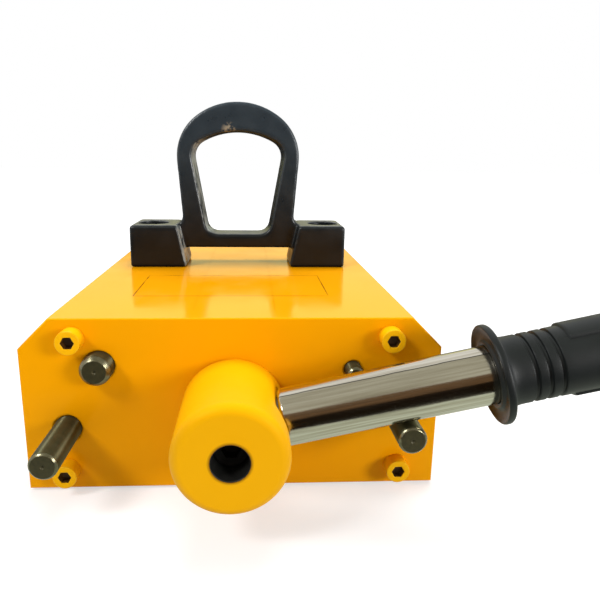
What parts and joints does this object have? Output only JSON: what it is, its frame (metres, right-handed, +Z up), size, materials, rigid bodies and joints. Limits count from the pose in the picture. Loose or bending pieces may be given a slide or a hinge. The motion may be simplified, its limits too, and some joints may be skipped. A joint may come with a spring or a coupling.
{
  "type": "lifting magnet",
  "caption": "Permanent lifting magnet: block body with bevelled top, turning rotor worked by a hand lever with a rubber grip, and a bolted lifting eye.",
  "frame": {"origin": "middle of the pole faces that grip the load", "axes": "+Z up from the pole faces to the lifting eye, -Y toward the lever end, +X toward the lever's off side"},
  "size_m": [0.3403, 0.369, 0.2155],
  "materials": {
    "body_paint": "glossy orange-yellow paint",
    "hub_paint": "glossy bright yellow paint",
    "eye_paint": "semi-gloss black paint on a casting",
    "pin_steel": "oiled ground steel",
    "rotor_steel": "machined steel",
    "screw_black": "black oxide",
    "lever_chrome": "bright chrome plate",
    "grip_rubber": "satin black moulded rubber",
    "seal_rubber": "matt black rubber",
    "brass_strip": "ground brass",
    "bush_bronze": "machined bronze",
    "magnet_plating": "nickel plate"
  },
  "bodies": {
    "housing": {"left_pole": "body_paint", "right_pole": "body_paint", "bridge_strip": "body_paint", "brass_spacer": "brass_strip", "fixed_magnets": "magnet_plating", "front_plate": "body_paint", "rear_plate": "body_paint", "front_bush": "bush_bronze", "rear_bush": "bush_bronze", "shaft_seal": "seal_rubber", "front_plate_screws": "body_paint", "rear_plate_screws": "body_paint", "left_dowel": "pin_steel", "right_dowel": "pin_steel", "on_stop_pin": "pin_steel", "off_stop_pin": "pin_steel", "lifting_eye": "eye_paint", "eye_screws": "screw_black"},
    "lever": {"rotor_left_pole": "rotor_steel", "rotor_right_pole": "rotor_steel", "rotor_magnets": "magnet_plating", "front_shaft": "rotor_steel", "rear_shaft": "rotor_steel", "rotor_screws": "screw_black", "drive_key": "rotor_steel", "hub": "hub_paint", "hub_washer": "rotor_steel", "hub_screw": "screw_black", "lever_rod": "rotor_steel", "lever_tube": "lever_chrome", "grip": "grip_rubber"}
  },
  "joints": [
    {"name": "lever_turn", "type": "hinge", "parent": "housing", "child": "lever", "pos_m": [0, -0.176, 0.0485], "axis": [0, -1, 0], "range_deg": [0, 160.4]}
  ]
}
